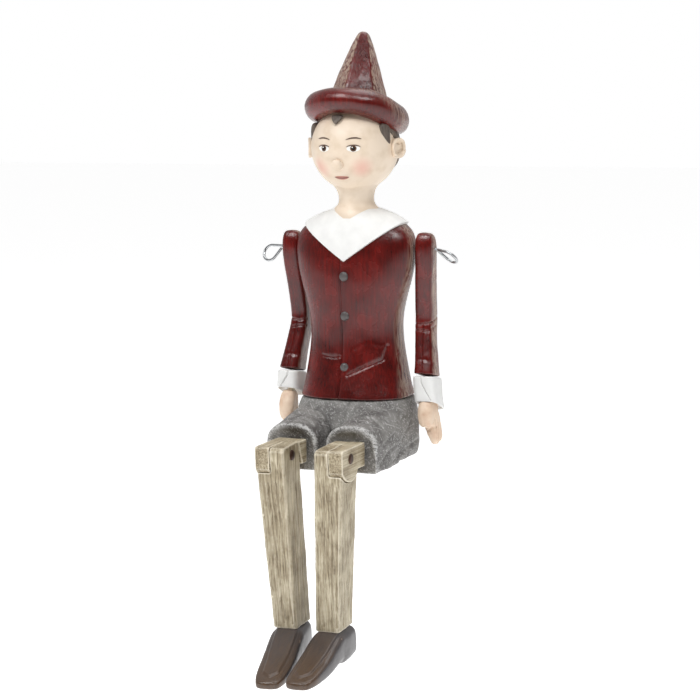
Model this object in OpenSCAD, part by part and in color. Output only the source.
// Jointed sitting puppet: painted wood figure on a flat seat, with swinging arms and shins.
// The figure faces -Y, its left hand is on +X, and the seat's flat underside lies at z = 0.

/* [Jacket] */
// Half width of the jacket at the shoulders
shoulder_half_w = 34; // [31:0.5:34]
// Half width of the jacket at the waist
waist_half_w = 25.3; // [22:0.5:30]
// Half width of the jacket at the hem
hem_half_w = 31; // [28:0.5:34]
// Height of the jacket's hem above the seat
hem_z = 34; // [33:0.5:38]
// Height of the shoulder wire above the seat
shoulder_z = 115; // [106:1:128]
// Distance of the shoulder wire behind the hips' middle
shoulder_y = 3; // [0:0.5:5]
// Thickness of the shirt collar
collar_t = 1.7; // [1.2:0.1:2.4]
// Radius of a jacket button
button_r = 2.6; // [2:0.1:3.4]

/* [Head and hat] */
// Radius of the ball head
head_r = 24; // [22:0.5:26]
// Bare neck between the jacket's top and the underside of the head
neck_l = 9.8; // [8:0.2:16]
// Radius of the neck
neck_r = 9.6; // [8:0.2:11]
// Radius of the nose peg's round end
nose_r = 3.2; // [2.6:0.1:4]
// Height of the nose peg below the head's middle
nose_low = 8; // [5:0.5:11]
// Radius of the ear's rim
ear_r = 5.6; // [4.5:0.1:6.5]
// Thickness of the hair cap
hair_t = 1; // [0.8:0.1:1.6]
// Backward tilt of the hat in degrees
hat_tilt = 13.5; // [8:0.5:16]
// Radius of the brim's roll, measured to the middle of the roll
brim_r = 21.3; // [20:0.1:23]
// Radius of the rolled edge itself
brim_roll_r = 8; // [7:0.1:8.6]
// Height of the crown's tip above the brim's middle
crown_h = 43.5; // [36:0.5:52]

/* [Arms] */
// Gap between the sleeve and the widest of the jacket and the hips
arm_gap = 0.6; // [0.4:0.1:8]
// Width of the sleeve, side to side
arm_w = 10.4; // [9.5:0.1:13]
// Length from the shoulder wire to the bend of the elbow
upper_arm_l = 39; // [34:1:44]
// Length from the elbow to the end of the sleeve
forearm_l = 31; // [27:1:36]
// Turn of the whole arm about the wire so that it hangs still
arm_set = -1.6; // [-4:0.1:4]

/* [Shoulder wire] */
// Radius of the wire
wire_r = 0.75; // [0.6:0.05:1]
// Radius of the eye's bend, to the middle of the wire
eye_r = 4.5; // [4.4:0.1:5.4]
// Distance from the sleeve to the middle of the eye's bend
eye_reach = 9; // [7:0.5:11]
// Droop of the eyes below the wire in degrees
eye_droop = 27; // [10:1:45]

/* [Shorts] */
// Half width of the hips
hip_half_w = 33.8; // [32:0.2:33.8]
// Distance of each leg's middle from the middle plane, at the shorts
leg_x = 17.5; // [17:0.1:19]
// Width of a trouser leg
leg_w = 30; // [26:0.5:31]
// Height of a trouser leg
leg_h = 25.3; // [23:0.5:28]
// Distance from the hips' middle to the end of a trouser leg
leg_end = 52.5; // [46:0.5:60]

/* [Knees] */
// Length of the thigh from the end of the trouser leg to the knee pin
thigh_l = 17.5; // [16.5:0.5:25]
// Height of the knee pin above the seat
knee_z = 11.7; // [11:0.1:13]
// Distance from the middle plane to the middle of the knee
knee_x = 17; // [16:0.1:18]
// Width of the knee, side to side
knee_w = 16.8; // [15:0.1:18]
// Distance from the knee pin to the front of the leg
knee_front = 10.5; // [9.5:0.1:11.5]
// Distance from the knee pin to the back of the leg
knee_back = 9.5; // [8.5:0.1:10]
// Radius of the knee pin's shaft
knee_pin_r = 1.9; // [1.5:0.1:2.4]
// Radius of the knee pin's domed head
knee_head_r = 2.9; // [2.5:0.1:3.4]

/* [Shins and shoes] */
// Length from the knee pin down to the shoe
shin_l = 93.5; // [78:0.5:104]
// Width of the shin at the shoe
ankle_w = 13.8; // [12:0.2:15]
// Depth of the shin at the shoe
ankle_d = 19; // [15:0.2:20]
// Inward lean of the left shin in degrees
shin_in_left = 3.8; // [2:0.1:3.8]
// Inward lean of the right shin in degrees
shin_in_right = 1.9; // [1:0.1:3.8]
// Backward lean of the shins at rest in degrees
shin_lean = 3.9; // [0:0.1:6]
// Length of the shoe
shoe_l = 63; // [54:1:74]
// Width of the shoe at the ball of the foot
shoe_w = 19; // [17:0.5:19.5]
// Height of the shoe at the heel
shoe_h = 18.5; // [16:0.5:22]
// Inward turn of the right shoe in degrees
shoe_turn_right = 9; // [0:0.5:10]

/* [Fits] */
// Radial clearance of the wire and of the knee pins in what turns on them
turn_gap = 0.08; // [0.04:0.01:0.1]
// Radial clearance of a glued dowel in its hole
glue_gap = 0.05; // [0.03:0.01:0.1]
// Gap between faces that move past each other
side_gap = 0.4; // [0.3:0.05:0.6]

/* [Hidden] */
$fn = 64;
eps = 0.01;

jacket_red = "#6b1a18";
shirt_white = "#f1efe9";
skin = "#e3d3be";
hair_taupe = "#5a5048";
shorts_grey = "#7d7a78";
wood = "#b8a98a";
shoe_brown = "#554a4a";
pin_brown = "#3a2a24";
button_grey = "#55504f";
wire_grey = "#a5a7a8";

// Jacket
torso_top = shoulder_z + 21;
rise = (shoulder_z - hem_z) / 81;
dowel_r = 5;
waist_dowel_low = 12;
waist_dowel_high = hem_z + 20;
button_dome = 1.5;
button_shank_r = 0.9;
button_shank_l = 5;
shoulder_bore_r = wire_r + turn_gap;

// Head and hat
head_y = 1;
head_z = torso_top + neck_l + head_r;
neck_y = 1.5;
neck_tenon_r = 5.5;
neck_tenon_l = 12;
nose_len = 4.6;
nose_pin_r = 1.3;
nose_root = sqrt(head_r * head_r - nose_low * nose_low);
ear_t = 3;
ear_pin_r = 1.4;
skull_gap = 0.06;
hair_lift = 38;
hair_spread = 84;
hat_y = 5.6;
hat_z = head_z + head_r - 4.2;
plug_r = brim_r - brim_roll_r + 0.6;
plug_low = -1.5;
hat_dowel_r = 2.6;
hat_dowel_l = 26;

// Arms
arm_x = max(shoulder_half_w, hip_half_w) + arm_gap;
arm_d = 12;
arm_mid_x = arm_x + arm_w / 2;
cuff_l = 17;
cuff_sink = 3;
hand_l = 22;
wrist_r = 2;
wrist_out = 1;
wrist_back = 1.5;
elbow_back = 6.5;
elbow_in = 2.4;
fore_tilt = 14;

// Knees
lap_h = 5.6;
knee_y = leg_end + thigh_l;
thigh_top = knee_z + lap_h;
thigh_low = knee_z - 7;
thigh_mid_z = (thigh_top + thigh_low) / 2;
recess_d = 1.2;
knuckle_r = norm([knee_front, 6.4]);
socket_r = knuckle_r + side_gap;
lap_r = knee_back + 0.3;
notch_r = lap_r + side_gap;
knee_kick = 15;
back_swing = knee_kick + shin_lean + 0.5;
tenon_r = 5.6;
tenon_l = 24;

// Shins and shoes
shin_top = 7.4;
ankle_r = 2.6;
ankle_l = 12;
shoe_heel_y = 11.5;
bevel = 0.8;

// ---- helpers ----

// One point of a rounded rectangle with half sides a and b; n = 2 is an ellipse, more is squarer.
function super(t, a, b, n) = [
    a * sign(cos(t)) * pow(abs(cos(t)), 2 / n),
    b * sign(sin(t)) * pow(abs(sin(t)), 2 / n)];

// A level ring of k points at height z, from y0 (front) to y1 (back), half width a.
function level_ring(z, a, y0, y1, n, k = 32, grow = 0) = [
    for (i = [0:k - 1])
        let (p = super(360 * i / k, a + grow, (y1 - y0) / 2 + grow, n))
        [p[0], (y0 + y1) / 2 + p[1], z]];

// Skin over a stack of rings that all run the same way round, closed at both ends.
module loft(rings) {
    k = len(rings[0]);
    m = len(rings);
    points = [for (r = rings) for (p = r) p];
    sides = [for (j = [0:m - 2]) for (i = [0:k - 1])
        [j * k + i, (j + 1) * k + i, (j + 1) * k + (i + 1) % k, j * k + (i + 1) % k]];
    low = [for (i = [0:k - 1]) i];
    high = [for (i = [0:k - 1]) m * k - 1 - i];
    polyhedron(points = points, faces = concat(sides, [low], [high]), convexity = 6);
}

// Draws its children on the left side as they are, on the right side mirrored.
module on_side(side) {
    if (side == "left") children();
    else mirror([1, 0, 0]) children();
}

// ---- jacket, collar and buttons ----

// Jacket stations: height, half width, front, back, squareness.
torso_stations = [
    [hem_z, hem_half_w, -24.5, 21, 2.5],
    [hem_z + 6, hem_half_w - 1.6, -22.6, 19.5, 2.5],
    [hem_z + 18 * rise, waist_half_w + 2.2, -18.6, 16.6, 2.5],
    [hem_z + 30 * rise, waist_half_w + 0.4, -17, 15.4, 2.5],
    [hem_z + 42 * rise, waist_half_w, -17, 15.2, 2.5],
    [hem_z + 54 * rise, waist_half_w + 2.6, -17.6, 15.6, 2.6],
    [shoulder_z - 16 * rise, shoulder_half_w - 2.4, -17.6, 16.2, 2.8],
    [shoulder_z - 4, shoulder_half_w, -16.8, 16.2, 2.9],
    [shoulder_z + 6, shoulder_half_w, -15, 15.6, 2.9],
    [shoulder_z + 11.5, shoulder_half_w - 2.4, -12.8, 14.8, 2.6],
    [shoulder_z + 16, shoulder_half_w - 10, -10.8, 13.6, 2.3],
    [torso_top, neck_r + 2.6, -9.2, 12.4, 2]];

module torso_form(grow = 0, low = 0) {
    loft([for (i = [low:len(torso_stations) - 1])
        let (s = torso_stations[i])
        level_ring(s[0] + (i == len(torso_stations) - 1 ? grow : 0),
            s[1], s[2], s[3], s[4], grow = grow)]);
}

// Front of the jacket at height z, between two stations.
function torso_front(z, i = 0) =
    i >= len(torso_stations) - 2 || torso_stations[i + 1][0] >= z
        ? let (a = torso_stations[i], b = torso_stations[i + 1])
            a[2] + (b[2] - a[2]) * (z - a[0]) / (b[0] - a[0])
        : torso_front(z, i + 1);

button_heights = [shoulder_z - 13.8, shoulder_z - 35.5 * rise, hem_z + 17.5 * rise];

module torso() {
    color(jacket_red) difference() {
        torso_form();
        translate([0, shoulder_y, shoulder_z]) rotate([0, 90, 0])
            cylinder(r = shoulder_bore_r, h = 2 * shoulder_half_w + 4, center = true);
        translate([0, neck_y, torso_top - neck_tenon_l - 0.5])
            cylinder(r = neck_tenon_r + glue_gap, h = neck_tenon_l + 2);
        translate([0, 0, hem_z - 1])
            cylinder(r = dowel_r + glue_gap, h = waist_dowel_high - hem_z + 1.5);
        for (z = button_heights) translate([0, torso_front(z), z]) rotate([90, 0, 0]) {
            translate([0, 0, -button_shank_l - 0.3])
                cylinder(r = button_shank_r + glue_gap, h = button_shank_l + 1);
            cylinder(r = button_r + glue_gap, h = 4);
        }
    }
}

module collar() {
    tip_z = shoulder_z - 6;
    corner_x = shoulder_half_w - 7;
    corner_z = shoulder_z + 11;
    color(shirt_white) difference() {
        intersection() {
            torso_form(grow = collar_t, low = 5);
            rotate([90, 0, 0]) linear_extrude(height = 60, center = true)
                polygon([[0, tip_z], [corner_x, corner_z], [corner_x, torso_top + 3],
                    [-corner_x, torso_top + 3], [-corner_x, corner_z]]);
        }
        torso_form(grow = skull_gap, low = 4);
        translate([0, neck_y, torso_top - 4]) cylinder(r = neck_r + glue_gap, h = 10);
        translate([-40, 0, tip_z - 8]) cube([80, 40, 14]);
    }
}

module jacket_buttons() {
    color(button_grey) for (z = button_heights)
        translate([0, torso_front(z), z]) rotate([90, 0, 0]) {
            translate([0, 0, -button_shank_l]) cylinder(r = button_shank_r, h = button_shank_l + 0.5);
            translate([0, 0, glue_gap]) rotate_extrude() intersection() {
                translate([0, button_dome - (button_r * button_r + button_dome * button_dome)
                    / (2 * button_dome)])
                    circle(r = (button_r * button_r + button_dome * button_dome) / (2 * button_dome),
                        $fn = 96);
                square([button_r, button_dome]);
            }
        }
}

module waist_dowel() {
    color(wood) translate([0, 0, waist_dowel_low])
        cylinder(r = dowel_r, h = waist_dowel_high - waist_dowel_low);
}

// ---- shorts ----

// Hip stations: height, half width, front, back, squareness.
hip_stations = [
    [0, hip_half_w - 3.3, -30, 19, 3.2],
    [2, hip_half_w - 1.2, -32, 21, 3.2],
    [10, hip_half_w, -33, 22.4, 3],
    [20, hip_half_w - 0.6, -31, 22, 2.8],
    [hem_z - 7, hip_half_w - 2.2, -27, 21.4, 2.6],
    [hem_z, hem_half_w - 1.4, -23, 19.6, 2.5]];

// A trouser leg's section at distance y forward: an arch with a flat foot, k points.
function arch_ring(y, cx, w, h, k = 32) = [
    for (i = [0:k - 1])
        let (p = super(360 * i / k, w / 2, h, 2.6))
        [cx + p[0], -y, p[1] > 0 ? p[1] * 0.72 + h * 0.28 : h * 0.28 * (1 + max(-1, p[1] / h * 2.2))]];

module trouser_leg() {
    loft([
        arch_ring(12, leg_x + 1.5, leg_w + 1, min(leg_h + 7, hem_z - 1.7)),
        arch_ring(24, leg_x + 1, leg_w + 1, min(leg_h + 4.5, hem_z - 4.2)),
        arch_ring(38, leg_x + 0.5, leg_w, leg_h + 1.5),
        arch_ring(leg_end - 0.8, leg_x, leg_w, leg_h),
        arch_ring(leg_end, leg_x, leg_w - 1, leg_h - 0.6)]);
}

module shorts() {
    color(shorts_grey) difference() {
        union() {
            loft([for (s = hip_stations) level_ring(s[0], s[1], s[2], s[3], s[4])]);
            for (side = ["left", "right"]) on_side(side) trouser_leg();
        }
        for (side = ["left", "right"]) on_side(side) {
            translate([knee_x, -leg_end + tenon_l + 0.5, thigh_mid_z]) rotate([90, 0, 0])
                cylinder(r = tenon_r + glue_gap, h = tenon_l + 4);
            translate([0, -leg_end, 0]) leg_recess();
        }
        translate([0, 0, waist_dowel_low - 0.5])
            cylinder(r = dowel_r + glue_gap, h = waist_dowel_high);
    }
}

// Shallow sunk panel in the end of a trouser leg, inside its raised rim.
module leg_recess() {
    rotate([90, 0, 0]) linear_extrude(height = 2 * recess_d, center = true)
        translate([leg_x, 3.2]) polygon([for (i = [0:31])
            let (p = super(360 * i / 32, leg_w / 2 - 3, leg_h - 6.4, 2.6))
            [p[0], max(0, p[1])]]);
}

// ---- thighs and knees ----

// Side outline of the thigh bar with its round knuckle, pin at the origin, forward to the left.
module knuckle_outline() {
    intersection() {
        union() {
            circle(r = knuckle_r, $fn = 128);
            translate([0, thigh_low - knee_z])
                square([knee_y - leg_end + recess_d, thigh_top - thigh_low]);
        }
        polygon([[-knee_front, -knuckle_r], [-knee_front, thigh_top - knee_z - bevel],
            [-knee_front + bevel, thigh_top - knee_z], [knee_y - leg_end + recess_d, thigh_top - knee_z],
            [knee_y - leg_end + recess_d, thigh_low - knee_z], [knee_back - 0.3, thigh_low - knee_z],
            [knee_back - 1.8, -knuckle_r]]);
    }
}

// What the inner half of the thigh keeps clear for the lap to turn through.
module notch_outline() {
    circle(r = notch_r, $fn = 128);
    translate([-knee_front - 5, -knuckle_r - 5]) square([knee_front + 5, 40]);
    rotate(back_swing) translate([-5, -30]) square([knee_back + side_gap + 5, 30]);
}

// Turns a side outline (forward to the left, up is up) into a slab from x0 to x1 at the knee.
module knee_slab(x0, x1) {
    translate([x0, -knee_y, knee_z]) rotate([90, 0, 90]) linear_extrude(height = x1 - x0) children();
}

module thigh(side) {
    color(wood) on_side(side) difference() {
        union() {
            knee_slab(knee_x + side_gap / 2, knee_x + knee_w / 2) knuckle_outline();
            knee_slab(knee_x - knee_w / 2, knee_x + side_gap / 2 + eps) difference() {
                knuckle_outline();
                notch_outline();
            }
            translate([knee_x, -leg_end - 0.5, thigh_mid_z]) rotate([-90, 0, 0])
                cylinder(r = tenon_r, h = tenon_l);
        }
        translate([knee_x, -knee_y, knee_z]) rotate([0, 90, 0])
            cylinder(r = knee_pin_r + glue_gap, h = knee_w);
    }
}

module thigh_left() { thigh("left"); }
module thigh_right() { thigh("right"); }

// A domed rivet head of radius r and height h.
module rivet_head(r, h) {
    rotate_extrude() intersection() {
        translate([0, h - (r * r + h * h) / (2 * h)]) circle(r = (r * r + h * h) / (2 * h), $fn = 96);
        square([r, h]);
    }
}

module knee_pin(side) {
    head_h = 0.9;
    color(pin_brown) on_side(side) translate([knee_x, -knee_y, knee_z]) rotate([0, 90, 0]) {
        cylinder(r = knee_pin_r, h = knee_w + 0.3, center = true);
        translate([0, 0, knee_w / 2 + 0.05]) rivet_head(knee_head_r, head_h);
        mirror([0, 0, 1]) translate([0, 0, knee_w / 2 + 0.12]) rivet_head(knee_head_r, head_h);
    }
}

module knee_pin_left() { knee_pin("left"); }
module knee_pin_right() { knee_pin("right"); }

// ---- shins ----

// What the shin's outer half leaves free for the knuckle, seen from the side, pin at the origin.
module knuckle_room() {
    translate([-50, -shin_top]) square([100, 50]);
    circle(r = socket_r, $fn = 128);
    rotate(-back_swing) translate([0, thigh_low - knee_z - side_gap]) square([40, 40]);
}

// The rear top corner that the round of the lap takes away, seen from the side.
module lap_round() {
    difference() {
        square([30, 30]);
        circle(r = lap_r, $fn = 128);
    }
}

// How far in from the knee the foot of the shin stands.
function foot_x(side) = shin_l * tan(side == "left" ? shin_in_left : shin_in_right);

// One level section of the shin, d below the pin, with its four edges cut off.
function shin_ring(side, d, w, front, back, cut) = [
    for (p = [[-w / 2 + cut, -front], [w / 2 - cut, -front], [w / 2, -front + cut],
        [w / 2, back - cut], [w / 2 - cut, back], [-w / 2 + cut, back],
        [-w / 2, back - cut], [-w / 2, -front + cut]])
        [p[0] - d / shin_l * foot_x(side), p[1], -d]];

// The whole bar hangs from the pin at the origin, before it is leaned back.
module shin_bar(side) {
    loft([
        shin_ring(side, shin_l, ankle_w, ankle_d / 2, ankle_d / 2, 1.2),
        shin_ring(side, -lap_h + 1.6, knee_w, knee_front, knee_back, 0.9),
        shin_ring(side, -lap_h, knee_w - 0.6, knee_front - 1.6, knee_back, 0.9)]);
}

module lean_at_knee() {
    translate([knee_x, -knee_y, knee_z]) rotate([shin_lean, 0, 0]) children();
}

module lower_leg(side) {
    color(wood) on_side(side) lean_at_knee() difference() {
        shin_bar(side);
        rotate([90, 0, 90]) translate([0, 0, -side_gap / 2])
            linear_extrude(height = 2 * knee_w) knuckle_room();
        rotate([90, 0, 90]) translate([0, 0, -knee_w])
            linear_extrude(height = 2 * knee_w) lap_round();
        rotate([0, 90, 0]) cylinder(r = knee_pin_r + turn_gap, h = 3 * knee_w, center = true);
        translate([-foot_x(side), 0, -shin_l - 1])
            cylinder(r = ankle_r + glue_gap, h = ankle_l + 1.5);
    }
}

module lower_leg_left() { lower_leg("left"); }
module lower_leg_right() { lower_leg("right"); }

module ankle_dowel(side) {
    color(wood) on_side(side) lean_at_knee()
        translate([-foot_x(side), 0, -shin_l - ankle_l])
            cylinder(r = ankle_r, h = 2 * ankle_l);
}

module ankle_dowel_left() { ankle_dowel("left"); }
module ankle_dowel_right() { ankle_dowel("right"); }

// ---- shoes ----

// Shoe stations: share of the length from the heel, half width, foot height, top height, sideways.
shoe_stations = [
    [0, 6.5, 1.5, 0.82, 0],
    [0.04, 8.4, 0, 0.96, 0],
    [0.2, 9.2, 0, 1, 0],
    [0.3, 9.3, 0.6, 1, 0],
    [0.36, 9.2, 2.4, 0.98, 0],
    [0.45, 9.4, 1.8, 0.84, 0],
    [0.6, shoe_w / 2, 0.2, 0.6, 0.2],
    [0.78, shoe_w / 2 - 0.6, 0, 0.42, 0.4],
    [0.92, 7.6, 0.2, 0.32, 0.4],
    [1, 4.6, 1.6, 0.22, 0.3]];

module shoe(side) {
    top = -shin_l - 0.05;
    shoe_out = max(0.3, shoe_w / 2 + side_gap - knee_x + foot_x(side));
    color(shoe_brown) on_side(side) lean_at_knee() difference() {
        translate([shoe_out - foot_x(side), 0, top - shoe_h])
            rotate([0, 0, side == "left" ? 0 : -shoe_turn_right]) loft([for (s = shoe_stations)
                let (k = 28, low = s[2], high = s[3] * shoe_h, mid = (low + high) / 2)
                [for (i = [0:k - 1])
                    let (p = super(360 * i / k, s[1], (high - low) / 2, 2.8))
                    [p[0] + s[4], shoe_heel_y - s[0] * shoe_l, mid + p[1]]]]);
        translate([-50, -60, top]) cube([100, 120, 20]);
        translate([-foot_x(side), 0, -shin_l - ankle_l - 0.5])
            cylinder(r = ankle_r + glue_gap, h = ankle_l + 2);
    }
}

module shoe_left() { shoe("left"); }
module shoe_right() { shoe("right"); }

// ---- arms ----

// Places its children in the arm's own frame: the wire at the origin, x from the arm's middle.
module at_shoulder(side) {
    on_side(side) translate([arm_mid_x, shoulder_y, shoulder_z]) rotate([arm_set, 0, 0]) children();
}

elbow = [elbow_back, -upper_arm_l];
wrist = [elbow_back - forearm_l * sin(fore_tilt), -upper_arm_l - forearm_l * cos(fore_tilt)];

// A ring across the arm at a point [y, z], turned by a from level, half sides w and d.
function arm_ring(c, a, w, d, n = 3.4, k = 24, x = 0) = [
    for (i = [0:k - 1])
        let (p = super(360 * i / k, w, d, n))
        [x + p[0], c[0] + p[1] * cos(a), c[1] + p[1] * sin(a)]];

module sleeve(side) {
    w = arm_w / 2;
    d = arm_d / 2;
    color(jacket_red) at_shoulder(side) difference() {
        loft([
            arm_ring(wrist, -fore_tilt, w + 0.9, d + 1.6, n = 4, x = wrist_out - 0.3),
            arm_ring((elbow + wrist) / 2, -fore_tilt, w + 0.1, d + 0.4, x = -elbow_in * 0.4),
            arm_ring(elbow + [-1.5, -6], -fore_tilt * 0.8, w, d - 0.1, x = -elbow_in * 0.96),
            arm_ring(elbow, -2, w, d + 0.2, x = -elbow_in),
            arm_ring(elbow + [-1, 7], 8, w, d, x = -elbow_in * 0.9),
            arm_ring([elbow_back * 0.4, -upper_arm_l * 0.45], 8, w - 0.1, d - 0.2, x = -elbow_in * 0.5),
            arm_ring([0.3, -5], 3, w, d - 0.2),
            arm_ring([0, 3], 0, w, d - 0.6),
            arm_ring([-0.2, 7], 0, w - 0.8, d - 2),
            arm_ring([-0.4, 9.4], 0, w - 2.4, d - 4)]);
        rotate([0, 90, 0]) cylinder(r = wire_r + turn_gap, h = arm_w + 4, center = true);
        wrist_axis() translate([0, wrist_back, -1]) cylinder(r = wrist_r + glue_gap, h = 9);
    }
}

module sleeve_left() { sleeve("left"); }
module sleeve_right() { sleeve("right"); }

// The line through sleeve end, cuff and hand, running back up the forearm.
module wrist_axis() {
    translate([wrist_out, wrist[0], wrist[1]]) rotate([-fore_tilt, 0, 0]) children();
}

module cuff(side) {
    color(shirt_white) at_shoulder(side) wrist_axis() difference() {
        loft([for (s = [[-cuff_l, 1.3, 2.2, 4, 1.2], [-cuff_l + 0.8, 1.7, 2.6, 4, 1.2],
            [-cuff_l / 2, 1.5, 2, 1.7, 0.4], [-0.8, 1.6, 2.2, 0, 0], [-0.05, 1.3, 1.9, 0, 0]])
            arm_ring([s[3], s[0]], 0, arm_w / 2 + s[1], arm_d / 2 + s[2], n = 4, x = s[4])]);
        translate([1.2, 3.4, -cuff_l]) cube([arm_w - 0.4, arm_d, 2 * cuff_sink], center = true);
        translate([0, wrist_back, -cuff_l - 1]) cylinder(r = wrist_r + glue_gap, h = cuff_l + 2);
    }
}

module cuff_left() { cuff("left"); }
module cuff_right() { cuff("right"); }

module wrist_dowel(side) {
    color(wood) at_shoulder(side) wrist_axis() translate([0, wrist_back, -cuff_l - 1])
        cylinder(r = wrist_r, h = cuff_l + 8);
}

module wrist_dowel_left() { wrist_dowel("left"); }
module wrist_dowel_right() { wrist_dowel("right"); }

module hand(side) {
    top = -cuff_l + cuff_sink - 0.05;
    color(skin) at_shoulder(side) wrist_axis() difference() {
        union() {
            loft([
                arm_ring([14.6, top - hand_l + 0.6], 34, 1.6, 2, x = 3),
                arm_ring([13.2, top - hand_l + 3], 32, 3, 3.4, x = 2.8),
                arm_ring([9.4, top - hand_l * 0.62], 28, 4, 4.8, x = 2.3),
                arm_ring([5.6, top - hand_l * 0.32], 16, 4.5, 5.2, x = 1.8),
                arm_ring([3.6, top - 4], 4, 4.3, 4.7, x = 1.4),
                arm_ring([3.2, top], 0, 4.1, 4.5, x = 1.2)]);
            loft([
                arm_ring([3, top - hand_l * 0.68], 20, 1.4, 1.4, 2, x = 1.2),
                arm_ring([2, top - hand_l * 0.56], 16, 2.6, 2.6, 2, x = 1.2),
                arm_ring([1, top - hand_l * 0.34], 8, 3, 3, 2, x = 1.2),
                arm_ring([1.4, top - 4], 0, 2.6, 2.8, 2, x = 1.2)]);
        }
        translate([0, wrist_back, -cuff_l - 1.5]) cylinder(r = wrist_r + glue_gap, h = 12);
    }
}

module hand_left() { hand("left"); }
module hand_right() { hand("right"); }

// ---- shoulder wire ----

wire_out = arm_x + arm_w + 0.8;
eye_open = asin(eye_r / eye_reach);
eye_run = eye_reach * cos(eye_open);
eye_butt = (wire_r + 0.05) / sin(eye_open);

// A ring of the wire round a point [x, y] of its path, which runs at angle a in the flat.
function wire_ring(c, a, k = 12) = [
    for (i = [0:k - 1])
        let (u = wire_r * cos(360 * i / k))
        [c[0] - u * sin(a), c[1] + u * cos(a), wire_r * sin(360 * i / k)]];

// Out along one side, round the bend, and back until the end rests against the start.
function eye_rings(bends = 20) = concat(
    [wire_ring([0, 0], eye_open)],
    [for (j = [0:bends])
        let (a = (90 + eye_open) * (1 - 2 * j / bends))
        wire_ring([eye_reach + eye_r * cos(a), eye_r * sin(a)], a - 90)],
    [wire_ring(eye_butt * [cos(eye_open), -sin(eye_open)], 180 - eye_open)]);

// A wire eye that leaves the end of the shaft along +X, its flat turned by twist.
module wire_eye(twist) {
    translate([wire_out, 0, 0]) rotate([0, eye_droop, 0]) rotate([twist, 0, 0]) loft(eye_rings());
}

module shoulder_wire() {
    color(wire_grey) translate([0, shoulder_y, shoulder_z]) {
        rotate([0, 90, 0]) cylinder(r = wire_r, h = 2 * wire_out + 0.8, center = true);
        wire_eye(-12);
        mirror([1, 0, 0]) wire_eye(62);
    }
}

// ---- head ----

module at_head() {
    translate([0, head_y, head_z]) children();
}

module at_hat() {
    translate([0, hat_y, hat_z]) rotate([-hat_tilt, 0, 0]) children();
}

module neck_peg() {
    color(skin) translate([0, neck_y, 0]) difference() {
        union() {
            translate([0, 0, torso_top + 0.05]) cylinder(r = neck_r, h = head_z - head_r + 6 - torso_top);
            translate([0, 0, torso_top - neck_tenon_l])
                cylinder(r = neck_tenon_r, h = head_z - head_r + 10 + neck_tenon_l - torso_top);
        }
        translate([0, head_y - neck_y, head_z]) difference() {
            sphere(r = head_r + skull_gap, $fn = 96);
            translate([0, neck_y - head_y, -head_r - 1]) cylinder(r = neck_tenon_r, h = 2 * head_r);
        }
    }
}

module head() {
    color(skin) difference() {
        at_head() sphere(r = head_r, $fn = 96);
        translate([0, neck_y, head_z - head_r - 1]) cylinder(r = neck_tenon_r + glue_gap, h = 12);
        at_nose() translate([0, 0, -6]) cylinder(r = nose_pin_r + glue_gap, h = 8);
        for (s = [-1, 1]) at_head() rotate([0, s * 90, 0]) translate([0, 0, head_r - 5])
            cylinder(r = ear_pin_r + glue_gap, h = 8);
        at_hat() translate([0, 0, -hat_dowel_l / 2 - 2]) cylinder(r = hat_dowel_r + glue_gap, h = 20);
    }
}

// The nose peg points straight forward from the skin of the head, below its middle.
module at_nose() {
    at_head() translate([0, -nose_root, -nose_low]) rotate([90, 0, 0]) children();
}

module nose_peg() {
    color(skin) {
        at_nose() translate([0, 0, -5.5]) cylinder(r = nose_pin_r, h = 7);
        difference() {
            at_nose() {
                translate([0, 0, -3]) cylinder(r1 = nose_r - 0.6, r2 = nose_r, h = nose_len - nose_r + 3.6);
                translate([0, 0, nose_len - nose_r + 0.6]) sphere(r = nose_r);
            }
            at_head() sphere(r = head_r + skull_gap, $fn = 96);
        }
    }
}

module ear(side) {
    color(skin) on_side(side) at_head() {
        translate([head_r - 4.5, 0, 0]) rotate([0, 90, 0]) cylinder(r = ear_pin_r, h = 6);
        difference() {
            translate([head_r - 1, 0.6, 0]) rotate([0, 0, 28]) rotate([0, 90, 0])
                rotate_extrude() union() {
                    square([ear_r - ear_t / 2, ear_t - 0.8]);
                    translate([ear_r - ear_t / 2, ear_t / 2]) circle(r = ear_t / 2, $fn = 32);
                }
            sphere(r = head_r + skull_gap, $fn = 96);
        }
    }
}

module ear_left() { ear("left"); }
module ear_right() { ear("right"); }

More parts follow.
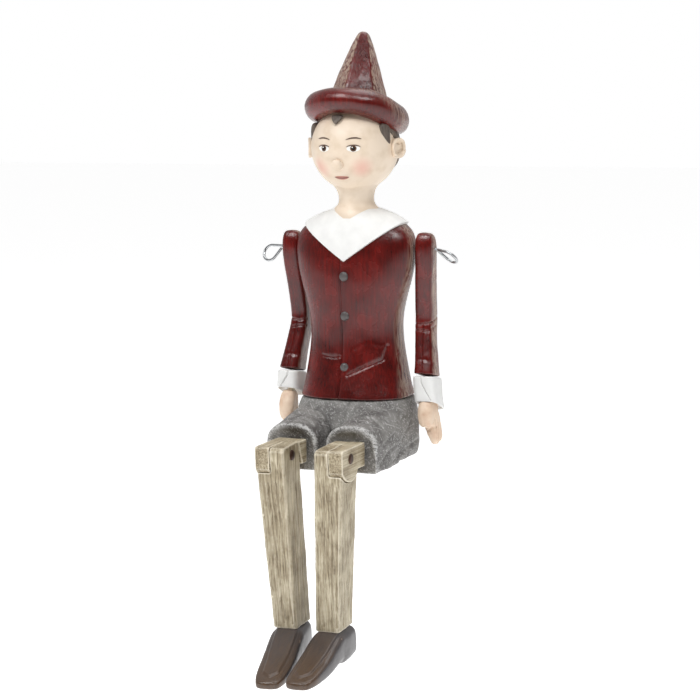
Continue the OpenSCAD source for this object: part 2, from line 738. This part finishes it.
module hair() {
    color(hair_taupe) difference() {
        at_head() rotate([hair_lift - 90, 0, 0]) rotate_extrude($fn = 96) intersection() {
            difference() {
                circle(r = head_r + hair_t, $fn = 96);
                circle(r = head_r + skull_gap, $fn = 96);
            }
            polygon([[0, 0], [0, 60], [60 * sin(hair_spread), 60], [60 * sin(hair_spread),
                60 * cos(hair_spread)]]);
        }
        for (s = [-1, 1]) at_head() rotate([0, s * 90, 0])
            cylinder(r = ear_r + 1.2, h = head_r + 8);
        at_hat() translate([0, 0, -hat_dowel_l / 2 - 2]) cylinder(r = hat_dowel_r + 0.3, h = 40);
    }
}

// ---- hat ----

module head_clear() {
    at_head() sphere(r = head_r + hair_t + skull_gap, $fn = 96);
}

module hat_brim() {
    color(jacket_red) difference() {
        at_hat() rotate_extrude() translate([brim_r, 0]) circle(r = brim_roll_r);
        at_hat() translate([0, 0, -20]) cylinder(r = plug_r + glue_gap, h = 40);
        head_clear();
    }
}

module hat_crown() {
    tip_r = 2.6;
    seat = brim_roll_r * 0.86;
    color(jacket_red) difference() {
        at_hat() rotate_extrude() difference() {
            union() {
                translate([0, plug_low]) square([plug_r, seat - plug_low + 2]);
                polygon([[0, seat - 2], [plug_r, seat - 2], [plug_r, seat], [plug_r - 0.4, seat + 3],
                    [11.6, seat + 12], [8.6, crown_h - 15], [5.6, crown_h - 7],
                    [tip_r, crown_h - tip_r], [0, crown_h - tip_r]]);
                translate([0, crown_h - tip_r]) circle(r = tip_r);
            }
            translate([-50, -50]) square([50, 150]);
        }
        head_clear();
        at_hat() translate([0, 0, -20]) cylinder(r = hat_dowel_r + glue_gap, h = 20 + hat_dowel_l / 2 + 4);
    }
}

module hat_dowel() {
    color(wood) at_hat() translate([0, 0, -hat_dowel_l / 2]) cylinder(r = hat_dowel_r, h = hat_dowel_l);
}

// ---- drawing ----

torso();
collar();
jacket_buttons();
waist_dowel();
shorts();
thigh_left();
thigh_right();
knee_pin_left();
knee_pin_right();
lower_leg_left();
lower_leg_right();
ankle_dowel_left();
ankle_dowel_right();
shoe_left();
shoe_right();
sleeve_left();
sleeve_right();
cuff_left();
cuff_right();
wrist_dowel_left();
wrist_dowel_right();
hand_left();
hand_right();
shoulder_wire();
neck_peg();
head();
nose_peg();
ear_left();
ear_right();
hair();
hat_brim();
hat_crown();
hat_dowel();
